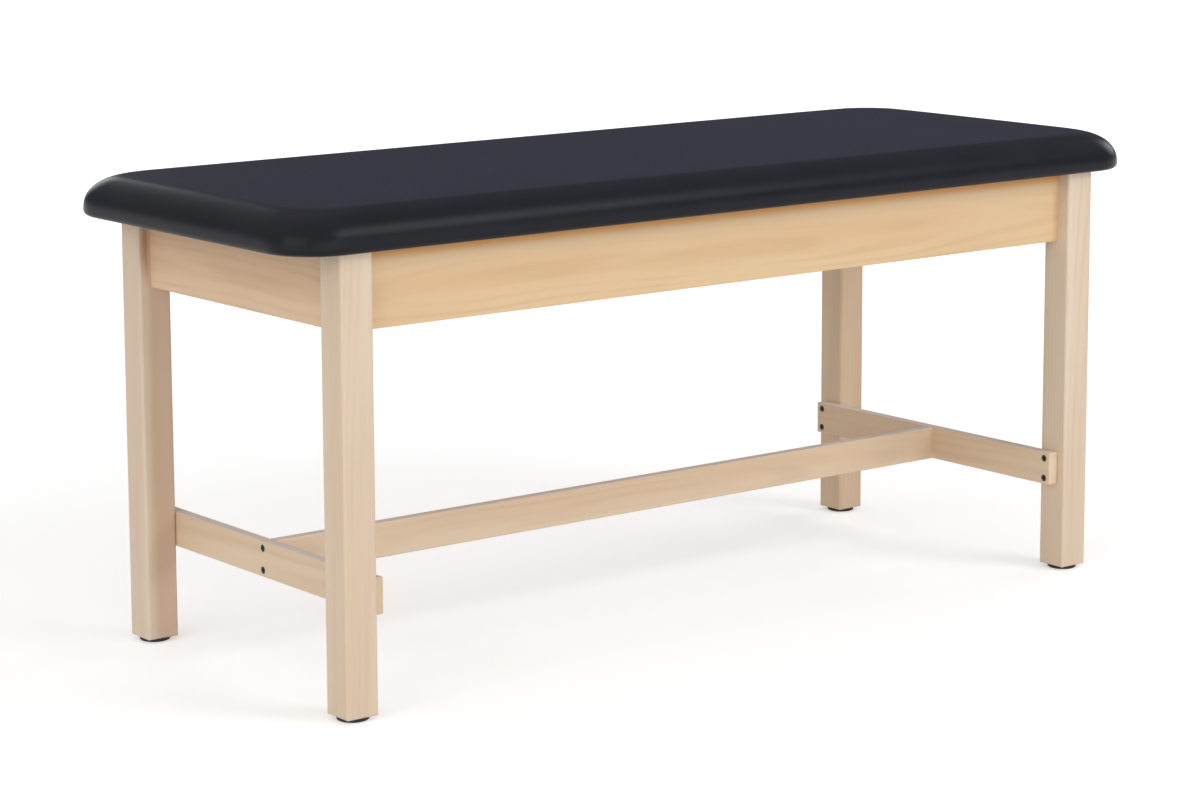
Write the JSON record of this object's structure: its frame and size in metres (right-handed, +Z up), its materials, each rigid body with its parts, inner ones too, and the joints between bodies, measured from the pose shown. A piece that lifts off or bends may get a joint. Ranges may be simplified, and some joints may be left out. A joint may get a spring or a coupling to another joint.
{
  "type": "examination table",
  "caption": "Fixed-height examination and treatment table with a flat vinyl pad on a wooden frame of square legs, deep aprons and a bolted H-shaped lower brace.",
  "frame": {"origin": "on the floor under the middle of the table", "axes": "+X along the table's length, +Y across it towards the back long side, +Z up"},
  "size_m": [1.829, 0.711, 0.809],
  "materials": {
    "leg_wood": "pale maple with a thin satin clear coat",
    "apron_wood": "golden beech with a thin satin clear coat",
    "stretcher_wood": "pale maple with a thin satin clear coat",
    "hidden_wood": "planed and unfinished",
    "plywood": "sanded birch plywood, unfinished",
    "foam": "open-cell polyurethane foam",
    "vinyl": "near-black coated vinyl with a fine grain, satin",
    "glide_plastic": "black nylon",
    "black_bolts": "black oxide",
    "brass": "turned brass",
    "zinc_steel": "zinc-plated steel"
  },
  "bodies": {
    "root": {"leg_front_left": "leg_wood", "leg_front_right": "leg_wood", "leg_back_left": "leg_wood", "leg_back_right": "leg_wood", "side_apron_front": "apron_wood", "side_apron_back": "apron_wood", "end_apron_left": "apron_wood", "end_apron_right": "apron_wood", "end_stretcher_left": "stretcher_wood", "end_stretcher_right": "stretcher_wood", "long_stretcher": "stretcher_wood", "cross_rail": "hidden_wood", "corner_block_front_left": "hidden_wood", "corner_block_front_right": "hidden_wood", "corner_block_back_left": "hidden_wood", "corner_block_back_right": "hidden_wood", "apron_dowels": "hidden_wood", "rail_dowels": "hidden_wood", "pad_board": "plywood", "pad_foam": "foam", "pad_cover": "vinyl", "glide_front_left": "glide_plastic", "glide_front_right": "glide_plastic", "glide_back_left": "glide_plastic", "glide_back_right": "glide_plastic", "leg_bolts": "black_bolts", "brace_bolts": "black_bolts", "leg_inserts": "brass", "barrel_nuts": "zinc_steel", "hanger_bolts": "zinc_steel", "hanger_washers": "zinc_steel", "hanger_nuts": "zinc_steel", "block_screws": "zinc_steel", "top_screws": "zinc_steel", "glide_nails": "zinc_steel"}
  },
  "joints": []
}
